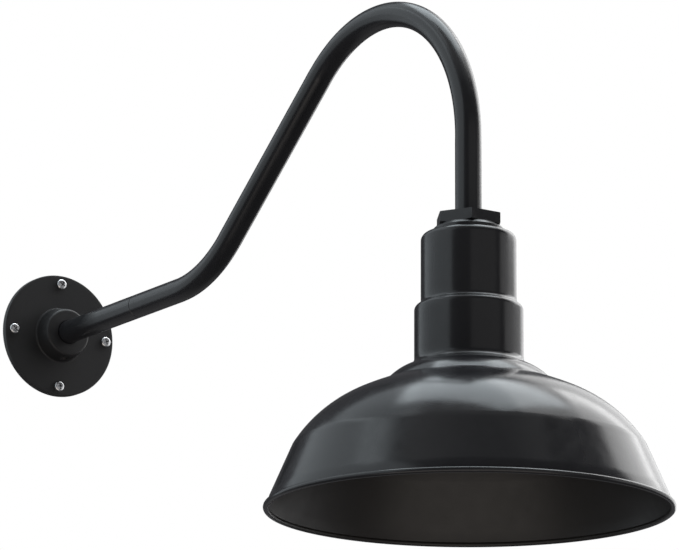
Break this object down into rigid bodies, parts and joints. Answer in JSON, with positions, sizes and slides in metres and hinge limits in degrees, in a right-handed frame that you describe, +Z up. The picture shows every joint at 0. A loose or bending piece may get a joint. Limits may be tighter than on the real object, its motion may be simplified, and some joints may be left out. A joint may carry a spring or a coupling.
{
  "type": "gooseneck barn wall light",
  "caption": "Outdoor gooseneck wall light: round wall flange, bent tube arm with a hex nut, and a spun metal shade with a stepped neck over a screw-in bulb.",
  "frame": {"origin": "centre of the wall flange's back face, on the wall", "axes": "+Y into the wall, +Z up, arm running out along -Y in the plane X = 0"},
  "size_m": [0.3556, 0.9193, 0.4948],
  "materials": {
    "cast_paint": "flat black powder coat on a casting",
    "satin_paint": "satin black powder coat",
    "zinc": "bright zinc plate",
    "black_oxide": "black oxide steel",
    "steel": "plain steel",
    "aluminium": "bare aluminium",
    "brass": "plain brass",
    "porcelain": "white glaze",
    "rubber": "matt black",
    "bushing": "matt black nylon",
    "green_screw": "green dyed zinc plate",
    "black_wire": "insulated lead",
    "white_wire": "insulated lead",
    "green_wire": "insulated lead",
    "frosted_glass": "inside frosted glass",
    "black_glass": "black insulating glass",
    "solder": "tin solder",
    "clear_glass": "clear glass",
    "tungsten": "tungsten wire"
  },
  "bodies": {
    "wall": {"wall_flange": "cast_paint", "wall_gasket": "rubber", "mounting_screws": "zinc", "hub_set_screw": "black_oxide"},
    "arm": {"arm_stub": "satin_paint", "arm_coupler": "steel", "gooseneck_arm": "satin_paint", "hex_nut": "satin_paint", "sealing_washer": "rubber", "shade": "satin_paint", "socket_bracket": "steel", "lock_washer": "steel", "inner_locknut": "steel", "wire_bushing": "bushing", "socket_body": "porcelain", "screw_shell": "brass", "shell_rivets": "brass", "contact_spring": "brass", "terminal_screws": "brass", "bracket_screws": "steel", "ground_screw": "green_screw", "lead_black": "black_wire", "lead_white": "white_wire", "lead_green": "green_wire"},
    "bulb": {"bulb_glass": "frosted_glass", "bulb_base": "aluminium", "bulb_insulator": "black_glass", "bulb_contact": "solder", "bulb_stem": "clear_glass", "bulb_filament": "tungsten"}
  },
  "joints": [
    {"name": "arm_level", "type": "hinge", "parent": "wall", "child": "arm", "pos_m": [0, 0, 0], "axis": [0, 1, 0], "range_deg": [-15, 15]},
    {"name": "bulb_unscrew", "type": "slide", "parent": "arm", "child": "bulb", "axis": [0, 0, -1], "range_m": [0, 0.027]}
  ]
}
